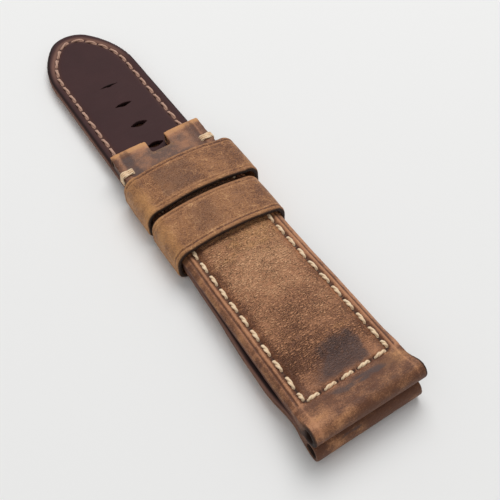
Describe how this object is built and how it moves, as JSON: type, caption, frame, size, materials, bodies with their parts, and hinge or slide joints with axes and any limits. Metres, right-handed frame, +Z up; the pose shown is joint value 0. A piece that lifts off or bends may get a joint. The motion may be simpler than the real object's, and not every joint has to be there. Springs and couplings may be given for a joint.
{
  "type": "watch strap",
  "caption": "Two-piece padded leather watch strap, short piece laid on the long tail piece with a fixed and a free keeper round both, bored at the lugs and at the buckle end.",
  "frame": {"origin": "on the table, under the middle of the strap's outline as it lies", "axes": "+Y along the strap from the lug ends to the tail tip, +X to the right seen from the lug end with the leather up, +Z up"},
  "size_m": [0.0274, 0.1336, 0.0091],
  "materials": {
    "top_leather": "waxed brown leather, rubbed lighter at the edges, fine grain, soft sheen",
    "lining_leather": "smooth dark brown leather, matt",
    "keeper_leather": "waxed brown leather with dark painted edges",
    "padding_felt": "pressed felt",
    "stay_tape": "thin woven tape",
    "thread": "thick cream waxed thread"
  },
  "bodies": {
    "short_strap": {"short_top_leather": "top_leather", "short_lining": "lining_leather", "short_padding": "padding_felt", "short_stay_tape": "stay_tape", "short_stitching": "thread", "left_bar_tack": "thread", "right_bar_tack": "thread", "fixed_keeper": "keeper_leather", "fixed_keeper_thread": "thread"},
    "free_keeper": {"free_keeper": "keeper_leather", "free_keeper_thread": "thread"},
    "long_strap": {"long_top_leather": "top_leather", "long_lining": "lining_leather", "long_padding": "padding_felt", "long_stay_tape": "stay_tape", "long_stitching": "thread"}
  },
  "joints": [
    {"name": "free_keeper_slide", "type": "slide", "parent": "short_strap", "child": "free_keeper", "axis": [0, 1, 0], "range_m": [-0.01, 0.0011]},
    {"name": "long_piece_slide", "type": "slide", "parent": "short_strap", "child": "long_strap", "axis": [0, -0.9999, 0.0126], "range_m": [0, 0.0876]}
  ]
}
